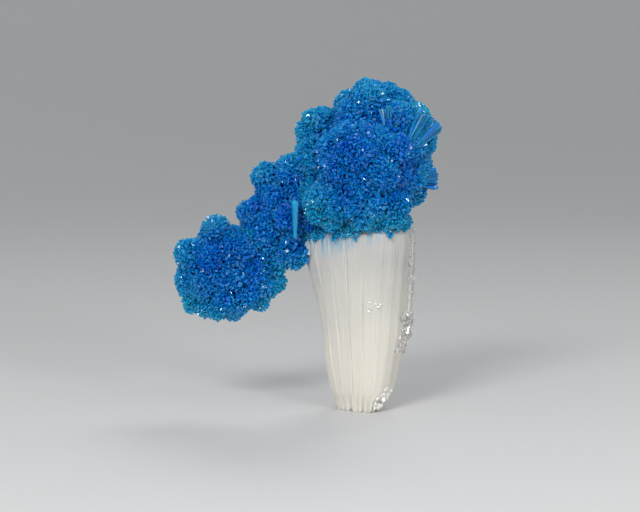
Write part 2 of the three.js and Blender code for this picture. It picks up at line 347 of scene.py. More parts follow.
# %% Cut the skin into groups
TUFT_BULGE = 1.5
TUFT_LOWEST = 0.9
FACING_LEAST = 0.35
COLUMN_CLEAR = 1.05


def add_attribute(mesh, label, values):
    """Stores a number or a vector at each point of a mesh."""
    values = np.asarray(values)
    kind, field = ("FLOAT", "value") if values.ndim == 1 else ("FLOAT_VECTOR", "vector")
    mesh.attributes.new(label, kind, "POINT").data.foreach_set(field, values.ravel())


def skin_object(name, points, faces, attributes):
    """A surface for crystals to grow on, with the attributes that its points carry."""
    skin = link_mesh(name + "_skin", points, faces)
    for label, values in attributes.items():
        add_attribute(skin.data, label, values)
    return skin


def skin_of(group, faces):
    """The part of the skin that the faces make, bulging over its tufts."""
    used, renumbered = np.unique(faces, return_inverse=True)
    tuft, normals = nearest[used], skin_normals[used]
    fall = np.linalg.norm(skin_points[used] - tuft_tips[tuft], axis=1) / TUFT_SPACING
    rise = np.maximum(rises[tuft] - TUFT_BULGE * fall ** 2, -TUFT_LOWEST)
    points = skin_points[used] + normals * rise[:, None]
    # Where the skin faces away from its tuft's nucleus, the crystals start straight behind it.
    toward = points - nuclei[tuft]
    facing = (toward * normals).sum(axis=1) / np.linalg.norm(toward, axis=1)
    behind = points - normals * reaches[tuft][:, None]
    nucleus = np.where((facing > FACING_LEAST)[:, None], nuclei[tuft], behind)
    return skin_object(group, points, renumbered.reshape(faces.shape).tolist(), {
        "nucleus": nucleus * MM,
        "tuft_reach": reaches[tuft] * MM,
        # The rim value: painted rim light near the group's outline, plus a random shade per tuft.
        "rim": rim_light_share(points, group) + shades[tuft],
    })


# Nothing grows inside the column, and the crown's crystals stop at its hem.
middles = skin_points[skin_faces].mean(axis=1)
face_groups = group_of(middles)
outside_crown = face_groups != list(GROUPS).index("crown")
free = column_share(middles) > COLUMN_CLEAR
free &= outside_crown | (middles[:, 2] > hem_height(middles[:, 0]))
skins = {
    name: skin_of(name, skin_faces[free & (face_groups == number)])
    for number, name in enumerate(GROUPS)
}
print({name: len(skin.data.polygons) for name, skin in skins.items()}, "faces")

# %% [markdown]
# ## The shapes of one crystal
# Cavansite crystals are slim prisms. Some end in a chisel edge, some in an off-centre point and some
# in a slanted flat end. Three unit shapes, each a metre long and wide, are enough: the nodes scale
# them. They have flat faces and only a few of them, because they are repeated thousands of times.

# %% Make the unit crystals
ROOT_SHARE = 0.42
# The heights of the shoulder's four corners, and the points above them that make the tip.
CRYSTAL_ENDS = {
    "chisel": ((0.88, 0.88, 0.88, 0.88), [(-0.3, 0.0, 1.0), (0.3, 0.0, 1.0)]),
    "point": ((0.8, 0.88, 0.78, 0.72), [(0.12, 0.1, 1.0)]),
    "slant": ((0.9, 0.9, 0.99, 0.99), []),
}


def unit_crystal(name, heights, tip):
    """A prism from a small root at z = 0 to a wide shoulder, closed by the tip points given."""
    corners = [(-0.5, -0.5), (0.5, -0.5), (0.5, 0.5), (-0.5, 0.5)]
    root = [(x * ROOT_SHARE, y * ROOT_SHARE, 0.0) for x, y in corners]
    shoulder = [(x, y, height) for (x, y), height in zip(corners, heights)]
    body = bmesh.new()
    for point in root + shoulder + tip:
        body.verts.new(point)
    bmesh.ops.convex_hull(body, input=body.verts)
    bmesh.ops.recalc_face_normals(body, faces=body.faces)
    mesh = mesh_of(body, name)
    add_attribute(mesh, "along", [v.co.z for v in mesh.vertices])
    return bpy.data.objects.new(name, mesh)


kinds = bpy.data.collections.new("crystal_kinds")
for kind, (heights, tip) in CRYSTAL_ENDS.items():
    kinds.objects.link(unit_crystal("unit_" + kind, heights, tip))

# %% [markdown]
# ## Geometry Nodes that grow the crystals
# The tree scatters points over a skin, turns each one away from its nucleus, and puts a crystal there
# whose tip is on the skin. One tree serves for all the crusts of crystals, and each use of it sets
# its own inputs. It ends in Realize Instances and Set Material, so what comes out is plain mesh.

# %% Helpers for node trees


def add_node(tree, kind, inputs=None, **settings):
    """A node with its settings and inputs. An input is a value or another node's output socket."""
    node = tree.nodes.new(kind)
    for key, value in settings.items():
        setattr(node, key, value)
    for key, value in (inputs or {}).items():
        socket = node.inputs[key]
        if isinstance(value, bpy.types.NodeSocket):
            tree.links.new(value, socket)
        else:
            socket.default_value = value
    return node


def math_node(tree, operation, *values):
    """The output of a Math node."""
    return add_node(tree, "ShaderNodeMath", dict(enumerate(values)), operation=operation).outputs[0]


def vector_node(tree, operation, *values):
    """The output of a Vector Math node. Values may be sockets or triples; a scale goes last."""
    inputs = dict(enumerate(values))
    if operation == "SCALE":
        inputs = {0: values[0], "Scale": values[1]}
    return add_node(tree, "ShaderNodeVectorMath", inputs, operation=operation).outputs[0]


def attribute_node(tree, name, kind):
    """The output of a Named Attribute node."""
    node = add_node(tree, "GeometryNodeInputNamedAttribute", {"Name": name}, data_type=kind)
    return next(output for output in node.outputs if output.enabled)


def random_node(tree, given, step, low, high, kind="FLOAT"):
    """A random number or vector for each point. Its own step on the seed keeps it independent."""
    seed = math_node(tree, "ADD", given["Seed"], step)
    node = add_node(tree, "FunctionNodeRandomValue", {"Seed": seed}, data_type=kind)
    first, result = (0, 0) if kind == "FLOAT_VECTOR" else (2, 1)
    node.inputs[first].default_value = low
    node.inputs[first + 1].default_value = high
    return node.outputs[result]


# %% The inputs of the tree
# Each input: its name, its kind of socket, and a value for when nothing sets it.
TREE_INPUTS = [
    ("Geometry", "Geometry", None),
    ("Kinds", "Collection", None),
    ("Spacing", "Float", 0.36 * MM),
    ("Width", "Float", 0.3 * MM),
    ("Lean", "Float", 0.1),
    ("Length share", "Float", 0.8),
    ("Stand", "Float", 0.1 * MM),
    ("Seed", "Int", 1),
    ("Material", "Material", None),
]


def empty_tree():
    """The node group with its named inputs and its output. Returns it and the inputs' sockets."""
    tree = bpy.data.node_groups.new("Grow crystals", "GeometryNodeTree")
    for name, kind, value in TREE_INPUTS:
        socket = tree.interface.new_socket(name, in_out="INPUT", socket_type="NodeSocket" + kind)
        if value is not None:
            socket.default_value = value
    tree.interface.new_socket("Geometry", in_out="OUTPUT", socket_type="NodeSocketGeometry")
    return tree, tree.nodes.new("NodeGroupInput").outputs


# %% The place, the turn and the size of each crystal
LENGTHS = (0.9, 1.05)
WIDTHS = (0.7, 1.35)
THICKNESSES = (0.35, 0.8)
STRAY_OUT = 0.2


def crystal_place(tree, given):
    """Where a crystal's root is, how it is turned and how it is scaled, as three sockets."""
    position = add_node(tree, "GeometryNodeInputPosition").outputs[0]
    nucleus = attribute_node(tree, "nucleus", "FLOAT_VECTOR")
    outward = vector_node(tree, "NORMALIZE", vector_node(tree, "SUBTRACT", position, nucleus))
    stray = random_node(tree, given, 1, (-1, -1, -1), (1, 1, 1), "FLOAT_VECTOR")
    lean = vector_node(tree, "SCALE", stray, given["Lean"])
    aim = vector_node(tree, "NORMALIZE", vector_node(tree, "ADD", outward, lean))
    reach = attribute_node(tree, "tuft_reach", "FLOAT")
    reach = math_node(tree, "MULTIPLY", reach, given["Length share"])
    length = math_node(tree, "MULTIPLY", reach, random_node(tree, given, 2, *LENGTHS))
    back = vector_node(tree, "SCALE", aim, length)
    stray_out = random_node(tree, given, 3, -1.0, 1.0)
    stray_out = math_node(tree, "MULTIPLY", stray_out, STRAY_OUT * MM)
    out = vector_node(tree, "SCALE", outward, math_node(tree, "ADD", stray_out, given["Stand"]))
    root = vector_node(tree, "ADD", vector_node(tree, "SUBTRACT", position, back), out)
    turned = add_node(tree, "FunctionNodeAlignRotationToVector", {"Vector": aim}, axis="Z")
    spun = add_node(
        tree, "FunctionNodeAxisAngleToRotation",
        {"Axis": (0, 0, 1), "Angle": random_node(tree, given, 4, 0, math.tau)},
    )
    rotation = add_node(
        tree, "FunctionNodeRotateRotation",
        {"Rotation": turned.outputs[0], "Rotate By": spun.outputs[0]}, rotation_space="LOCAL",
    )
    width = math_node(tree, "MULTIPLY", given["Width"], random_node(tree, given, 5, *WIDTHS))
    thickness = math_node(tree, "MULTIPLY", width, random_node(tree, given, 6, *THICKNESSES))
    scale = add_node(tree, "ShaderNodeCombineXYZ", {0: width, 1: thickness, 2: length})
    return root, rotation.outputs[0], scale.outputs[0]


# %% The tree that grows crystals
# So many points are tried in a square metre before the spacing thins them out.
DENSITY_MOST = 3.0 / (0.2 * MM) ** 2
CAPTURED = {"Root": "VECTOR", "Rotation": "ROTATION", "Scale": "VECTOR"}


def crystal_tree():
    """The node group that covers a skin with crystals."""
    tree, given = empty_tree()
    points = add_node(
        tree, "GeometryNodeDistributePointsOnFaces",
        {
            "Mesh": given["Geometry"],
            "Distance Min": given["Spacing"],
            "Density Max": DENSITY_MOST,
            "Seed": given["Seed"],
        },
        distribute_method="POISSON",
    ).outputs["Points"]
    # The place has to be worked out before the points move, so it is captured on them.
    captured = add_node(tree, "GeometryNodeCaptureAttribute", {"Geometry": points}, domain="POINT")
    for label, kind in CAPTURED.items():
        captured.capture_items.new(kind, label)
    for number, value in enumerate(crystal_place(tree, given), start=1):
        tree.links.new(value, captured.inputs[number])
    points, root, rotation, scale = captured.outputs[0:4]
    moved = add_node(tree, "GeometryNodeSetPosition", {"Geometry": points, "Position": root})
    shapes = add_node(
        tree, "GeometryNodeCollectionInfo",
        {"Collection": given["Kinds"], "Separate Children": True, "Reset Children": True},
    )
    placed = add_node(
        tree, "GeometryNodeInstanceOnPoints",
        {
            "Points": moved.outputs[0],
            "Instance": shapes.outputs[0],
            "Pick Instance": True,
            "Rotation": rotation,
            "Scale": scale,
        },
    )
    toned = add_node(
        tree, "GeometryNodeStoreNamedAttribute",
        {"Geometry": placed.outputs[0], "Name": "tone"},
        data_type="FLOAT", domain="INSTANCE",
    )
    tone = next(socket for socket in toned.inputs if socket.enabled and socket.name == "Value")
    tree.links.new(random_node(tree, given, 7, 0, 1), tone)
    realized = add_node(tree, "GeometryNodeRealizeInstances", {"Geometry": toned.outputs[0]})
    painted = add_node(
        tree, "GeometryNodeSetMaterial",
        {"Geometry": realized.outputs[0], "Material": given["Material"]},
    )
    result = tree.nodes.new("NodeGroupOutput")
    tree.links.new(painted.outputs[0], result.inputs[0])
    return tree


grow_crystals = crystal_tree()
print(len(grow_crystals.nodes), "nodes in", grow_crystals.name)

# %% [markdown]
# ## The blue mineral's material
# Cavansite is glassy and lets some light through, so the same crystal looks deep blue inside and
# pale or greenish blue along its edges. The colour comes from four things: how far along a crystal
# a point is, a random tone that each crystal got from the nodes, a rim value, and slow noise over
# the specimen. The rim value is painted rim light, a paler teal near each group's outline as seen
# from the front, plus a random shade per tuft. Subsurface scattering spreads the light inside, and
# a little transmission and a low roughness do the rest. There are three finishes: the fine crystals,
# the larger ones, which are smoother so that they glint, and the body behind them, darkened with
# painted shade.

# %% Helpers for materials


def value_group(name, inputs, outputs):
    """An empty shader group with named sockets. Returns the tree, its inputs and its output node."""
    tree = bpy.data.node_groups.new(name, "ShaderNodeTree")
    for in_out, sockets in (("INPUT", inputs), ("OUTPUT", outputs)):
        for label, kind in sockets.items():
            tree.interface.new_socket(label, in_out=in_out, socket_type="NodeSocket" + kind)
    given = tree.nodes.new("NodeGroupInput").outputs
    return tree, given, tree.nodes.new("NodeGroupOutput")


def ramp(tree, value, stops):
    """The colour output of a colour ramp with the stops given as (position, colour)."""
    node = add_node(tree, "ShaderNodeValToRGB", {0: value})
    elements = node.color_ramp.elements
    while len(elements) < len(stops):
        elements.new(0.5)
    for element, (position, colour) in zip(elements, stops):
        element.position = position
        element.color = (*colour, 1)
    return node.outputs[0]


def mix_colour(tree, share, one, other):
    """The colour between one and the other."""
    node = add_node(tree, "ShaderNodeMix", {0: share, 6: one, 7: other}, data_type="RGBA")
    return node.outputs[2]


def noise_node(tree, vector, scale, detail=3.0):
    """The value of a noise texture on a vector."""
    return add_node(
        tree, "ShaderNodeTexNoise", {"Vector": vector, "Scale": scale, "Detail": detail}
    ).outputs[0]


def new_material(name):
    """A material with its Principled node and its output node."""
    material = bpy.data.materials.new(name)
    material.use_nodes = True
    nodes = material.node_tree.nodes
    return material, nodes["Principled BSDF"], nodes["Material Output"]


def set_sockets(shader, values):
    """Sets constants on a shader's own sockets."""
    for label, value in values.items():
        shader.inputs[label].default_value = value


# %% The colour of the blue mineral
DEEP_BLUE = (0.0, 0.085, 0.52)
MID_BLUE = (0.0, 0.12, 0.72)
BRIGHT_BLUE = (0.01, 0.30, 0.86)
# Teal is the paler colour of the crystals' tips, and also the colour of the painted rim light.
TEAL = (0.01, 0.38, 0.62)
# Painted shade: the colour that darkens the body between the crystals.
PAINTED_SHADE_BLUE = (0.0, 0.06, 0.38)
TONE_SHARE, CLOUD_SHARE = 0.25, 0.85
CLOUD_SCALE = 300.0
TIP_SHARE, TIP_POWER = 0.3, 9.0
# How much of the painted rim light the rim value adds.
RIM_LIGHT_TINT = 0.55


def blue_colour_group():
    """Colour from a crystal's tone, the place along it and in space, and the painted rim light."""
    tree, given, result = value_group(
        "Cavansite colour",
        {"Tone": "Float", "Along": "Float", "Rim": "Float", "Place": "Vector"},
        {"Colour": "Color"},
    )
    own = math_node(tree, "MULTIPLY", given["Tone"], TONE_SHARE)
    cloud = noise_node(tree, given["Place"], CLOUD_SCALE)
    tone = math_node(tree, "ADD", own, math_node(tree, "MULTIPLY", cloud, CLOUD_SHARE))
    body = ramp(tree, tone, [(0.2, DEEP_BLUE), (0.55, MID_BLUE), (0.85, BRIGHT_BLUE)])
    tip = math_node(tree, "POWER", given["Along"], TIP_POWER)
    tip = math_node(tree, "MULTIPLY", tip, TIP_SHARE)
    # The tips are paler, and the rim value adds painted rim light along the groups' outlines.
    share = math_node(tree, "ADD", tip, math_node(tree, "MULTIPLY", given["Rim"], RIM_LIGHT_TINT))
    tree.links.new(mix_colour(tree, share, body, (*TEAL, 1)), result.inputs[0])
    return tree


blue_colour = blue_colour_group()
print(len(blue_colour.nodes), "nodes in", blue_colour.name)

# %% The three blue finishes
BLUE_FINISH = {
    "Roughness": 0.2,
    "IOR": 1.55,
    "Transmission Weight": 0.2,
    "Subsurface Weight": 0.75,
    "Subsurface Radius": (0.12, 0.5, 1.0),
    "Subsurface Scale": 0.9 * MM,
}
BODY_FINISH = {"Roughness": 0.6, "Transmission Weight": 0.0, "Specular IOR Level": 0.1}


def blue_material(name, painted_shade_share, changes):
    """The cavansite finish with changes. The share given darkens it with painted shade, for the body
    behind.
    """
    material, shader, _ = new_material(name)
    tree = material.node_tree
    group = add_node(tree, "ShaderNodeGroup", node_tree=blue_colour)
    for label in ("Tone", "Along", "Rim"):
        source = add_node(tree, "ShaderNodeAttribute", attribute_name=label.lower())
        tree.links.new(source.outputs["Fac"], group.inputs[label])
    place = add_node(tree, "ShaderNodeTexCoord").outputs["Object"]
    tree.links.new(place, group.inputs["Place"])
    colour = mix_colour(tree, painted_shade_share, group.outputs[0], (*PAINTED_SHADE_BLUE, 1))
    tree.links.new(colour, shader.inputs["Base Color"])
    set_sockets(shader, {**BLUE_FINISH, **changes})
    return material


crystal_blue = blue_material("cavansite_crystals", 0.0, {"Specular IOR Level": 0.3})
glint_blue = blue_material("cavansite_large", 0.0, {"Roughness": 0.03})
# The body gets painted shade, a darker blue for the shade deep between the crystals.
body_blue = blue_material("cavansite_body", 0.7, BODY_FINISH)
print("made", [material.name for material in (crystal_blue, glint_blue, body_blue)])

# %% [markdown]
# ## Grow the crystals
# The node tree runs once per group with fine crystals and once with fewer, larger ones that stand
# out a little further, as on the real specimen. One more run covers the hem, a ring over the
# column's shoulder where the crown's lowest crystals grow on the white blades. Each result is kept
# as plain mesh in place.

# %% Run the tree on a skin


def growth(spacing, width, lean, length_share, stand):
    """The tree's inputs for one kind of crystal, with its lengths in mm."""
    return {
        "Spacing": spacing * MM,
        "Width": width * MM,
        "Lean": lean,
        "Length share": length_share,
        "Stand": stand * MM,
    }


def grow(name, skin, seed, material, settings):
    """A plain mesh object of the crystals that the tree grows on a skin."""
    modifier = skin.modifiers.new("Grow crystals", "NODES")
    modifier.node_group = grow_crystals
    identifiers = {
        item.name: item.identifier for item in grow_crystals.interface.items_tree
        if item.in_out == "INPUT"
    }
    values = {"Kinds": kinds, "Seed": seed, "Material": material, **settings}
    for label, value in values.items():
        modifier[identifiers[label]] = value
    mesh = evaluated_mesh(skin)
    mesh.name = name
    skin.modifiers.remove(modifier)
    print(name, len(mesh.polygons), "faces")
    return link_object(name, mesh)


# %% The crown, the arm and the rosette
FINE = growth(spacing=0.215, width=0.29, lean=0.12, length_share=0.95, stand=0.1)
LARGE = growth(spacing=0.5, width=0.43, lean=0.4, length_share=0.8, stand=0.15)
FINE_SEED, LARGE_SEED, HEM_SEED = 10, 20, 30
blue_pieces = []
for number, (name, skin) in enumerate(skins.items()):
    blue_pieces.append(grow(name + "_crystals", skin, FINE_SEED + number, crystal_blue, FINE))
    blue_pieces.append(grow(name + "_large_crystals", skin, LARGE_SEED + number, glint_blue, LARGE))

# %% The hem
HEM_TOP = 23.7
HEM_OUT = 0.25
HEM_REACH = 0.9
HEM_DROOP = 0.2
HEM_TEETH, HEM_TOOTH = 31, 0.35
HEM_ROWS, HEM_SIDES = 8, 96


def hem_skin():
    """A ring over the column's shoulder, with an uneven lower edge."""
    sides = np.arange(HEM_SIDES) * math.tau / HEM_SIDES
    share, turn = np.meshgrid(np.linspace(0, 1, HEM_ROWS), sides, indexing="ij")
    low = hem_height(column_outline(HEM_HEIGHT, turn)[0]) + HEM_TOOTH * np.sin(HEM_TEETH * turn)
    z = low + share * (HEM_TOP - low)
    x, y = column_outline(z, turn)
    radius = np.hypot(x, y)
    size = 1 + HEM_OUT / radius
    points = np.stack([x * size, y * size, z], axis=2).reshape(-1, 3)
    # The crystals point outwards and droop a little.
    aim = np.stack([x / radius, y / radius, np.full_like(z, -HEM_DROOP)], axis=2).reshape(-1, 3)
    return skin_object("hem", points, loft_faces(*turn.shape), {
        "nucleus": (points - aim * HEM_REACH) * MM,
        "tuft_reach": np.full(len(points), HEM_REACH * MM),
        # The painted rim light of the crown's outline.
        "rim": rim_light_share(points, "crown"),
    })


hem = hem_skin()
blue_pieces.append(grow("hem_crystals", hem, HEM_SEED, crystal_blue, FINE))
bpy.data.objects.remove(hem)

# %% [markdown]
# ## The body behind the crystals
# Between the tips one looks into a blue mass, darkened with painted shade for the shade deep between
# the crystals. It is made of balls inside the sprays, merged into one skin by a voxel remesh, and the
# room for the column is cut out of it.

# %% Merge the balls and cut the socket
CORE_INSET = 1.65
SOCKET_SIDE_GAP = 0.6
SOCKET_TOP_GAP = 0.3
SOCKET_SIDES = 48


def closed_loft(name, rings):
    """A closed solid through rings of points in mm, from the lowest ring to the highest."""
    count, around = len(rings), len(rings[0])
    last = (count - 1) * around
    faces = loft_faces(count, around)
    faces += [tuple(reversed(range(around))), tuple(range(last, last + around))]
    return link_mesh(name, np.reshape(rings, (-1, 3)), faces)


def socket_cutter():
    """The column's outline, a little grown, as a closed solid."""
    angle = np.arange(SOCKET_SIDES) * math.tau / SOCKET_SIDES
    rings = []
    for z in COLUMN_RINGS[:, 0]:
        x, y = column_outline(z, angle)
        size = 1 + SOCKET_SIDE_GAP / np.hypot(x, y).mean()
        height = z + SOCKET_TOP_GAP if z == COLUMN_TOP else z
        rings.append(np.stack([x * size, y * size, np.full_like(x, height)], axis=1))
    return closed_loft("socket_cutter", rings)


def crystal_body():
    """The blue body inside all the sprays, as one mesh, darkened with painted shade."""
    source = merged_balls(CORE_INSET, "core")
    cutter = socket_cutter()
    cut = source.modifiers.new("Cut", "BOOLEAN")
    cut.operation = "DIFFERENCE"
    cut.solver = "EXACT"
    cut.object = cutter
    merged = evaluated_mesh(source)
    merged.name = "crystal_body"
    for spare in (source, cutter):
        bpy.data.objects.remove(spare)
    merged.materials.clear()
    merged.materials.append(body_blue)
    return link_object("crystal_body", merged)


body = crystal_body()
blue_pieces.append(body)
print(body.name, len(body.data.polygons), "faces")

# %% [markdown]
# ## Crystals that stand out
# A few crystals catch the eye: an upright blade where the arm leaves the crown, and three fans of
# long blades on the right of the crown. They are prisms with flat faces. The upright blade's place
# is listed. A loop spreads each fan's blades over an angle and sinks their roots into the skin, so
# that they look grown and not stuck on.

# %% Single crystals as prisms
PRISM_ROOT = 0.5
PRISM_TIP_LENGTH = 0.4
PRISM_TIP_EDGE = 0.3
PRISM_SHOULDER = 0.93
PRISM_TONES = (0.4, 1.0)
CORNERS = ((-1, -1), (1, -1), (1, 1), (-1, 1))


def prisms(name, rows, rim, material, rng):
    """Single crystals as one mesh. A row has a start, an end, a width, a thickness and a spin."""
    body = bmesh.new()
    along_of, tone_of = [], []
    for start, end, width, depth, spin in rows:
        start, end = Vector(start), Vector(end)
        along = (end - start).normalized()
        across = Vector((0, 1, 0)).cross(along).normalized()
        across = Matrix.Rotation(spin, 3, along) @ across
        through = along.cross(across)
        shoulder = end - along * PRISM_TIP_LENGTH * width
        points = []
        for centre, share in ((start, PRISM_ROOT), (shoulder, 1.0)):
            for side, face in CORNERS:
                aside = across * side * share * width / 2
                points.append(centre + aside + through * face * share * depth / 2)
        points += [end + across * side * width * PRISM_TIP_EDGE for side in (-1, 1)]
        made = [body.verts.new(point * MM) for point in points]
        bmesh.ops.convex_hull(body, input=made)
        along_of += [0.0] * 4 + [PRISM_SHOULDER] * 4 + [1.0] * 2
        tone_of += [rng.uniform(*PRISM_TONES)] * len(points)
    bmesh.ops.recalc_face_normals(body, faces=body.faces)
    mesh = mesh_of(body, name)
    add_attribute(mesh, "along", along_of)
    add_attribute(mesh, "tone", tone_of)
    # One rim value for each piece, which tints it paler teal as the painted rim light does.
    add_attribute(mesh, "rim", [float(rim)] * len(tone_of))
    mesh.materials.append(material)
    return link_object(name, mesh)


# %% Place the upright blade and the fans
STANDING_BLADE = ((-8.0, -3.6, 20.8), (-8.0, -4.9, 25.3), 0.6, 0.8, 0.3)
# Each fan: the x and z where its crystals start, the angles that they cover as seen from the front,
# their reach, and how many there are.
FANS = [
    ((4.0, 29.6), (36, 69), 6.9, 70),
    ((3.0, 31.8), (66, 104), 4.6, 40),
    ((4.6, 27.2), (-12, 24), 4.5, 26),
]
FAN_ROOTS = (0.45, 0.62)
FAN_TIPS = (0.9, 1.0)
FAN_ROOT_DEEP = 0.8
FAN_TIP_OUT = 0.05
FAN_SLANT = 1.2
FAN_SCATTER = 0.4
FAN_WIDTHS = (0.22, 0.42)
FAN_THICKNESSES = (0.2, 0.4)
SKIN_NEAR, SKIN_MARGIN = 0.4, 0.2
BLADE_RIM, FAN_RIM = 1.6, 0.6


def front_of_skin(x, z):
    """The y of the skin's front at an x and z, or of its outline where that is nearer."""
    apart = np.hypot(skin_points[:, 0] - x, skin_points[:, 2] - z)
    near = apart < max(SKIN_NEAR, apart.min() + SKIN_MARGIN)
    return skin_points[near, 1].min()


def fan_rows(rng):
    """Blades that spread like a fan and lie in the skin, a row of numbers for each blade."""
    rows = []
    for (x, z), (first, last), reach, count in FANS:
        for _ in range(count):
            turn = math.radians(rng.uniform(first, last))
            aim = np.array([math.cos(turn), math.sin(turn)])
            root = np.array([x, z]) + aim * reach * rng.uniform(*FAN_ROOTS)
            tip = np.array([x, z]) + aim * reach * rng.uniform(*FAN_TIPS)
            root_y = front_of_skin(*root) + FAN_ROOT_DEEP + rng.uniform(0, FAN_SCATTER)
            tip_y = min(front_of_skin(*tip) - FAN_TIP_OUT, root_y + FAN_SLANT)
            tip_y += rng.uniform(0, FAN_SCATTER)
            width, thickness = rng.uniform(*FAN_WIDTHS), rng.uniform(*FAN_THICKNESSES)
            spin = rng.uniform(0, math.tau)
            ends = ((root[0], root_y, root[1]), (tip[0], tip_y, tip[1]))
            rows.append((*ends, width, thickness, spin))
    return rows


fans = fan_rows(rng)
blue_pieces.append(prisms("standing_blade", [STANDING_BLADE], BLADE_RIM, crystal_blue, rng))
blue_pieces.append(prisms("fan_crystals", fans, FAN_RIM, crystal_blue, rng))
print("one upright blade and", len(fans), "blades in fans")

# %% [markdown]
# ## The white column
# Stilbite grows as a sheaf of thin blades. The column is one mesh whose outline is broken into
# blades. Each blade stands a little in or out, deep narrow grooves part them, and finer ones start
# and stop at random heights. The foot is broken, so its rim is uneven, and chips are missing.

# %% Values for the column's blades
AROUND = 480
UP = 170
BLADES = 20
BLADE_ANGLE = math.tau / BLADES
BLADE_LEAST = 0.955
SWAY = 0.012
SWAY_RATE = 0.5
GROOVE_DEPTH = 0.09
GROOVE_WIDTH = 0.05
GROOVE_LEAST = 0.3
FINE_BLADES = 110
FINE_STEP = 0.03
FINE_LEAST = 0.2
FINE_STARTS = (-8, 20)
FINE_LENGTHS = (5, 22)
FINE_GROOVE_DEPTH = 0.03
FINE_GROOVE_WIDTH = 0.12

# %% Shape the blades


def split(position):
    """The whole number in each position, and the share that is left."""
    number = position.astype(int)
    return number, position - number


def blade_outline(z, number, part):
    """The x and y of flat blades whose edges lie on the column's outline."""
    low_x, low_y = column_outline(z, number * BLADE_ANGLE)
    high_x, high_y = column_outline(z, (number + 1) * BLADE_ANGLE)
    return low_x * (1 - part) + high_x * part, low_y * (1 - part) + high_y * part


def blade_share(z, number, rng):
    """How far out each blade stands, as a share of the outline. It sways as it rises."""
    stand = rng.uniform(BLADE_LEAST, 1.0, BLADES)[number]
    return stand + SWAY * np.sin(z * SWAY_RATE + rng.uniform(0, math.tau, BLADES)[number])


def groove(part, width):
    """1 at the edges of a blade and nearly 0 in its middle."""
    return np.exp(-(np.minimum(part, 1 - part) / width) ** 2)


def groove_depth(z, angle, number, part, rng):
    """How many mm the surface lies in: grooves between blades, then finer blades of any height."""
    deep = rng.uniform(GROOVE_LEAST, 1.0, BLADES)[number]
    fine, fine_part = split(angle / math.tau * FINE_BLADES)
    starts = rng.uniform(*FINE_STARTS, FINE_BLADES)[fine]
    lengths = rng.uniform(*FINE_LENGTHS, FINE_BLADES)[fine]
    steps = rng.uniform(FINE_LEAST, 1.0, FINE_BLADES)[fine]
    lies = (z > starts) & (z < starts + lengths)
    inward = GROOVE_DEPTH * deep * groove(part, GROOVE_WIDTH) + FINE_STEP * steps * lies
    return inward + FINE_GROOVE_DEPTH * groove(fine_part, FINE_GROOVE_WIDTH)


# %% Break the edge and the foot
# The left edge is serrated near the top, where the blades end one after another.
SERRATION = 0.28
SERRATION_FROM, SERRATION_GROWS = 15.5, 2
SERRATION_HALF_ANGLE = 0.5
SERRATION_RATE, SERRATION_WAVE, SERRATION_WAVES = 1.35, 0.5, 9
FOOT_BREAK_HEIGHT = 2.2
FOOT_BREAK = 0.17
FOOT_RINGS = (0.25, 0.6, 0.93)
FOOT_LIFTS = (0.35, 0.3)
FOOT_WAVES, RIM_WAVES = 30, 40
WAVES = 7
WAVE_SIZE = 1.6
CHIP_DEPTH = 0.7
# Each chip: the middle of the ball that took it off, and the radius of that ball.
CHIPS = [
    ((3.9, -2.6, 0.7), 1.05),
    ((3.1, -4.2, 2.6), 0.6),
    ((3.5, -3.6, 1.9), 0.5),
    ((1.2, -4.5, 0.0), 0.7),
    ((-1.6, -4.3, -0.1), 0.6),
]


def wave(angle, rng, most):
    """Smooth random waves, from -1 to 1 or so, each with fewer than most crests round the column."""
    total = np.zeros_like(angle)
    for _ in range(WAVES):
        total += np.sin(angle * rng.integers(1, most) + rng.uniform(0, math.tau))
    return total / WAVES * WAVE_SIZE


def serration(z, angle):
    """How many mm the left edge is cut in, in teeth up its height."""
    reach = np.clip((z - SERRATION_FROM) / SERRATION_GROWS, 0, 1)
    reach = reach * np.clip(1 - np.abs(angle - math.pi) / SERRATION_HALF_ANGLE, 0, 1)
    tooth = (z * SERRATION_RATE + SERRATION_WAVE * np.sin(SERRATION_WAVES * angle)) % 1.0
    return SERRATION * reach * tooth


def take_chips(points):
    """Moves the points where a chip is missing in towards the axis."""
    for at, size in CHIPS:
        distance = np.linalg.norm(points - np.array(at), axis=2)
        push = np.sqrt(np.clip(size ** 2 - distance ** 2, 0, None)) * CHIP_DEPTH
        middle = np.hypot(points[..., 0], points[..., 1])
        points[..., :2] *= (1 - push / middle)[..., None]


# %% Make the column
COLUMN_SEED = 31


def column_mesh():
    """The column as a closed mesh object."""
    rng = np.random.default_rng(COLUMN_SEED)
    angle = np.arange(AROUND) * math.tau / AROUND
    z = np.linspace(0, COLUMN_TOP, UP)[:, None]
    number, part = split(angle / BLADE_ANGLE)
    x, y = blade_outline(z, number, part)
    share = blade_share(z, number, rng)
    inward = groove_depth(z, angle, number, part, rng) + serration(z, angle)
    broken = np.clip(0.5 + 0.5 * wave(angle, rng, FOOT_WAVES), 0, 1)
    share = share - FOOT_BREAK * np.clip(1 - z / FOOT_BREAK_HEIGHT, 0, 1) * broken
    scale = share - inward / np.hypot(x, y)
    points = np.stack([x * scale, y * scale, np.broadcast_to(z, x.shape)], axis=2)
    take_chips(points)
    # Smaller rings close the foot, and its rim is chipped upwards here and there.
    rings = np.concatenate([[points[0] * (size, size, 1.0) for size in FOOT_RINGS], points])
    chipped = np.clip(wave(angle, rng, RIM_WAVES), 0, 1)
    for ring, lift in zip(rings[len(FOOT_RINGS):], FOOT_LIFTS):
        ring[:, 2] += lift * chipped
    return closed_loft("stilbite_sheaf", rings)


sheaf = column_mesh()
print(sheaf.name, len(sheaf.data.polygons), "faces")

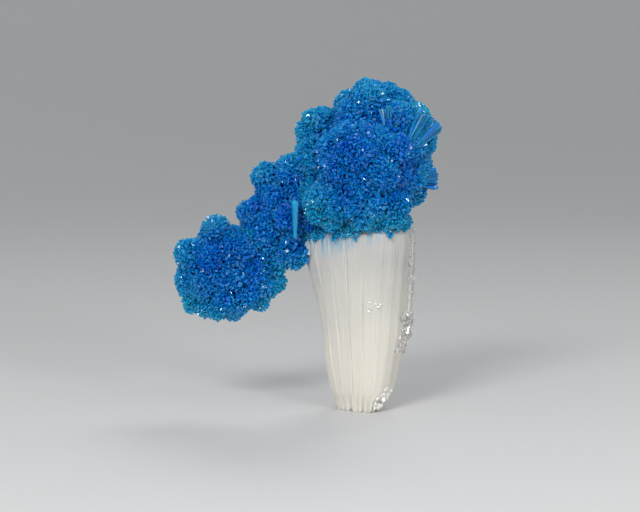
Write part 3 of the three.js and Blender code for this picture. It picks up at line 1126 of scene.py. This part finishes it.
# %% [markdown]
# ## The column's material
# Stilbite is pearly: light goes a little way in and comes out again, so shadows in it are soft and
# warm. Subsurface scattering gives that. The white turns greyer further up. Fine upright lines come
# from noise that is stretched along Z. Near the crown the blue crystals behind shine through, in
# streaks that start lower on the left.

# %% The colour of the column
CREAM = (0.69, 0.66, 0.59)
GREY = (0.45, 0.45, 0.435)
TINT = (0.05, 0.33, 0.55)
GREY_LOW, GREY_HIGH = 4 * MM, 21 * MM
GREY_CLOUD_SCALE, GREY_LEAST = 180.0, 0.35
TINT_LOW, TINT_HIGH = 19.0 * MM, 23.0 * MM
TINT_LEAN = 0.3
STREAKS = (2200.0, 90.0)
STRIAE = (4200.0, 110.0)


def smooth_share(tree, value, low, high):
    """How far a value is from low to high, as a smooth step from 0 to 1."""
    return add_node(
        tree, "ShaderNodeMapRange", {"Value": value, "From Min": low, "From Max": high},
        interpolation_type="SMOOTHSTEP",
    ).outputs[0]


def upright_noise(tree, place, scales, detail):
    """Noise with one scale across and a smaller one along Z, so it makes upright lines."""
    across, along = scales
    return noise_node(tree, vector_node(tree, "MULTIPLY", place, (across, across, along)), 1.0, detail)


def white_colour_group():
    """The colour and the striae of the column from the place on it."""
    tree, given, result = value_group(
        "Stilbite colour", {"Place": "Vector"}, {"Colour": "Color", "Striae": "Float"}
    )
    place = given["Place"]
    parts = add_node(tree, "ShaderNodeSeparateXYZ", {0: place}).outputs
    up = smooth_share(tree, parts["Z"], GREY_LOW, GREY_HIGH)
    cloud = noise_node(tree, place, GREY_CLOUD_SCALE)
    grey_share = math_node(tree, "MULTIPLY", up, math_node(tree, "ADD", cloud, GREY_LEAST))
    body = mix_colour(tree, grey_share, (*CREAM, 1), (*GREY, 1))
    streaks = smooth_share(tree, upright_noise(tree, place, STREAKS, 3.0), 0.4, 0.6)
    # The tint starts lower on the left: the height counts less further right.
    aside = math_node(tree, "MULTIPLY", parts["X"], TINT_LEAN)
    leaning = math_node(tree, "SUBTRACT", parts["Z"], aside)
    reach_down = smooth_share(tree, leaning, TINT_LOW, TINT_HIGH)
    tint_share = math_node(tree, "MULTIPLY", reach_down, streaks)
    tree.links.new(mix_colour(tree, tint_share, body, (*TINT, 1)), result.inputs["Colour"])
    tree.links.new(upright_noise(tree, place, STRIAE, 4.0), result.inputs["Striae"])
    return tree


white_colour = white_colour_group()
print(len(white_colour.nodes), "nodes in", white_colour.name)

# %% The white material
WHITE_FINISH = {
    "Roughness": 0.42,
    "IOR": 1.5,
    "Subsurface Weight": 0.55,
    "Subsurface Radius": (1.0, 0.9, 0.75),
    "Subsurface Scale": 1.1 * MM,
}
STRIAE_STRENGTH, STRIAE_DEPTH = 0.4, 0.12 * MM


def white_material():
    """The pearly white material of the column."""
    material, shader, _ = new_material("stilbite_pearly")
    tree = material.node_tree
    place = add_node(tree, "ShaderNodeTexCoord").outputs["Object"]
    group = add_node(tree, "ShaderNodeGroup", node_tree=white_colour)
    tree.links.new(place, group.inputs["Place"])
    lines = {
        "Height": group.outputs["Striae"], "Strength": STRIAE_STRENGTH, "Distance": STRIAE_DEPTH,
    }
    bump = add_node(tree, "ShaderNodeBump", lines)
    tree.links.new(group.outputs["Colour"], shader.inputs["Base Color"])
    tree.links.new(bump.outputs[0], shader.inputs["Normal"])
    set_sockets(shader, WHITE_FINISH)
    return material


pearly = white_material()
sheaf.data.materials.append(pearly)
print("made", pearly.name)

# %% Splinters along the upper left edge
SPLINTERS = [
    ((-6.3, -0.6, 17.4), (-6.9, -0.8, 19.6), 0.45, 0.4, 0.0),
    ((-6.1, -1.4, 18.4), (-6.6, -1.8, 20.3), 0.5, 0.4, 0.0),
]
splinters = prisms("edge_splinters", SPLINTERS, 0.0, pearly, rng)
print(len(SPLINTERS), "splinters")

# %% [markdown]
# ## Small crystals on the column
# The right side of the column carries a crust of small crystals that are clear like glass, and two
# little patches on the front and at the foot have white facets that glint. All four are scattered
# with the same node tree over a strip of the column. The clear ones have transmission with an index
# of refraction, and a volume that absorbs a little light. Their transmission is less than full,
# because wholly clear crystals look dark here. The facets are plain, white and smooth.

# %% The finishes of the small crystals
CLEAR_FINISH = {
    "Base Color": (1, 1, 1, 1), "Roughness": 0.1, "IOR": 1.5, "Transmission Weight": 0.7,
}
CLEAR_INSIDE = {"Color": (0.93, 0.95, 0.92, 1), "Density": 60.0}
FACET_FINISH = {"Base Color": (0.9, 0.89, 0.85, 1), "Roughness": 0.1, "IOR": 1.5}

clear, clear_shader, clear_output = new_material("stilbite_clear")
set_sockets(clear_shader, CLEAR_FINISH)
inside = add_node(clear.node_tree, "ShaderNodeVolumeAbsorption", CLEAR_INSIDE)
clear.node_tree.links.new(inside.outputs[0], clear_output.inputs["Volume"])
facets, facet_shader, _ = new_material("stilbite_facets")
set_sockets(facet_shader, FACET_FINISH)
print("made", clear.name, "and", facets.name)

# %% Grow the small crystals
# Each patch: its name and its finish, the heights and the angles round the column that it covers,
# then the spacing, the width and the stand of its crystals.
CRUST_PATCHES = [
    ("side_crust_high", clear, (11.0, 21.4), (-0.4, 0.5), 0.8, 0.85, -0.1),
    ("side_crust_low", clear, (7.2, 11.6), (-0.55, 0.6), 0.6, 0.8, 0.1),
    ("front_patch", facets, (12.2, 13.4), (-1.5, -1.18), 0.26, 0.3, -0.14),
    ("foot_patch", facets, (0.7, 2.9), (-1.0, -0.35), 0.4, 0.45, -0.1),
]
CRUST_SEED = 40
CRUST_DEEP = 1.3
CRUST_LEAN = 0.75
CRUST_LENGTH_SHARE = 0.6
CRUST_ROWS, CRUST_COLUMNS = 24, 14
UNDER_SURFACE = 0.975


def crust_skin(name, heights, angles):
    """A patch of the column's side, with attributes that turn the crystals outwards."""
    height, angle = np.linspace(*heights, CRUST_ROWS), np.linspace(*angles, CRUST_COLUMNS)
    z, turn = np.meshgrid(height, angle, indexing="ij")
    x, y = column_outline(z, turn)
    points = np.stack([x * UNDER_SURFACE, y * UNDER_SURFACE, z], axis=2).reshape(-1, 3)
    aim = np.stack([np.cos(turn), np.sin(turn), 0 * turn], axis=2).reshape(-1, 3)
    return skin_object(name, points, loft_faces(CRUST_ROWS, CRUST_COLUMNS, closed=False), {
        "nucleus": (points - CRUST_DEEP * aim) * MM,
        "tuft_reach": np.full(len(points), CRUST_DEEP * MM),
    })


crusts = []
for number, (name, finish, heights, angles, spacing, width, stand) in enumerate(CRUST_PATCHES):
    patch = crust_skin(name, heights, angles)
    small = growth(spacing, width, CRUST_LEAN, CRUST_LENGTH_SHARE, stand)
    crusts.append(grow(name, patch, CRUST_SEED + number, finish, small))
    bpy.data.objects.remove(patch)
for spare in (*skins.values(), *kinds.objects):
    bpy.data.objects.remove(spare)

# %% [markdown]
# ## Tie the pieces to the frame
# Each piece rides on the only body and takes the place of its solid.

for piece in blue_pieces:
    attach(piece, "root")
    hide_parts("cavansite")
column_pieces = (sheaf, splinters, *crusts)
for piece in column_pieces:
    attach(piece, "root")
    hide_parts("stilbite_column")
print(len(blue_pieces) + len(column_pieces), "pieces ride on the frame")

# %% [markdown]
# ## Floor, light and camera
# The specimen stands on a plain pale floor that curves up far away, so there is no horizon. A soft
# lamp near the front left and the bright world give most of the light, and a small lamp on the
# right gives that side its sparkle. Three suns add a weak light from the upper left, a fill from the
# right, and a stronger one from behind that shines through the crystals' edges.

# %% The floor
FLOOR_FLAT = 0.35
FLOOR_CURVE = 0.9
FLOOR_SIDES = 96
FLOOR_STEPS = 14
FLOOR_INNER_RINGS = (0.02, 0.15)
FLOOR_FINISH = {"Base Color": (0.62, 0.62, 0.62, 1), "Roughness": 0.55}


def floor_profile():
    """The radius and the height in m of each ring of the floor, from its rim to its middle."""
    profile = [(radius, 0.0) for radius in (*FLOOR_INNER_RINGS, FLOOR_FLAT)]
    for step in range(1, FLOOR_STEPS + 1):
        turn = math.pi / 2 * step / FLOOR_STEPS
        radius = FLOOR_FLAT + FLOOR_CURVE * math.sin(turn)
        profile.append((radius, FLOOR_CURVE * (1 - math.cos(turn))))
    return profile[::-1]


def pale_floor():
    """A round floor that curves up at its edge."""
    profile = floor_profile()
    angle = np.arange(FLOOR_SIDES) * math.tau / FLOOR_SIDES
    points = [
        (radius * math.cos(turn) / MM, radius * math.sin(turn) / MM, rise / MM)
        for radius, rise in profile for turn in angle
    ]
    last = (len(profile) - 1) * FLOOR_SIDES
    faces = loft_faces(len(profile), FLOOR_SIDES) + [tuple(range(last, last + FLOOR_SIDES))]
    floor = link_mesh("floor", points, faces)
    for polygon in floor.data.polygons:
        polygon.use_smooth = True
    material, shader, _ = new_material("pale_floor")
    set_sockets(shader, FLOOR_FINISH)
    floor.data.materials.append(material)
    return floor


floor = pale_floor()
print("the floor is", 2 * (FLOOR_FLAT + FLOOR_CURVE), "m across")

# %% Lights and world
# Each sun: its name, the side that it shines from, its angle in degrees and its power.
SUNS = [
    ("key", (-0.5, -0.7, 1.0), 28, 0.1),
    ("fill", (0.9, -0.6, 0.7), 50, 0.35),
    ("back", (0.35, 0.9, 0.75), 30, 1.0),
]
# Each lamp: its name, its place, its size and its power.
SPARKLES = [
    ("sparkle_left", (-0.12, -0.28, 0.20), 0.11, 0.74),
    ("sparkle_right", (0.16, -0.24, 0.12), 0.06, 0.25),
]
LIT_POINT = (0, 0, 0.022)
WORLD_COLOUR = (0.86, 0.88, 0.9, 1)
WORLD_STRENGTH = 0.48


def aim_at(thing, target):
    """Turns a light or camera towards a point."""
    toward = Vector(target) - thing.location
    thing.rotation_euler = toward.to_track_quat("-Z", "Y").to_euler()


def add_lamp(name, kind, place, power):
    """A lamp of a kind that points at the specimen. Returns the lamp, whose size is still to set."""
    lamp = bpy.data.lights.new(name, kind)
    lamp.energy = power
    thing = link_object(name, lamp)
    thing.location = place
    aim_at(thing, LIT_POINT)
    return lamp


for name, place, angle, power in SUNS:
    add_lamp(name, "SUN", place, power).angle = math.radians(angle)
for name, place, size, power in SPARKLES:
    add_lamp(name, "AREA", place, power).size = size

world = bpy.data.worlds.new("studio")
bpy.context.scene.world = world
world.use_nodes = True
background = world.node_tree.nodes["Background"]
set_sockets(background, {"Color": WORLD_COLOUR, "Strength": WORLD_STRENGTH})
print(len(SUNS) + len(SPARKLES), "lights")

# %% The camera
# It looks at the middle of the specimen from the front, a little downwards.
AIM = (-5.04 * MM, 0.0, 18.36 * MM)
ELEVATION = math.radians(5)
DISTANCE = 0.213

lens = bpy.data.cameras.new("camera")
lens.lens = 100
lens.sensor_width = 36
lens.clip_start = 0.01
camera = link_object("camera", lens)
camera.location = Vector(AIM) + DISTANCE * Vector((0, -math.cos(ELEVATION), math.sin(ELEVATION)))
aim_at(camera, AIM)
bpy.context.scene.camera = camera
# The Standard view keeps the blues as strong as they are set.
bpy.context.scene.view_settings.view_transform = "Standard"
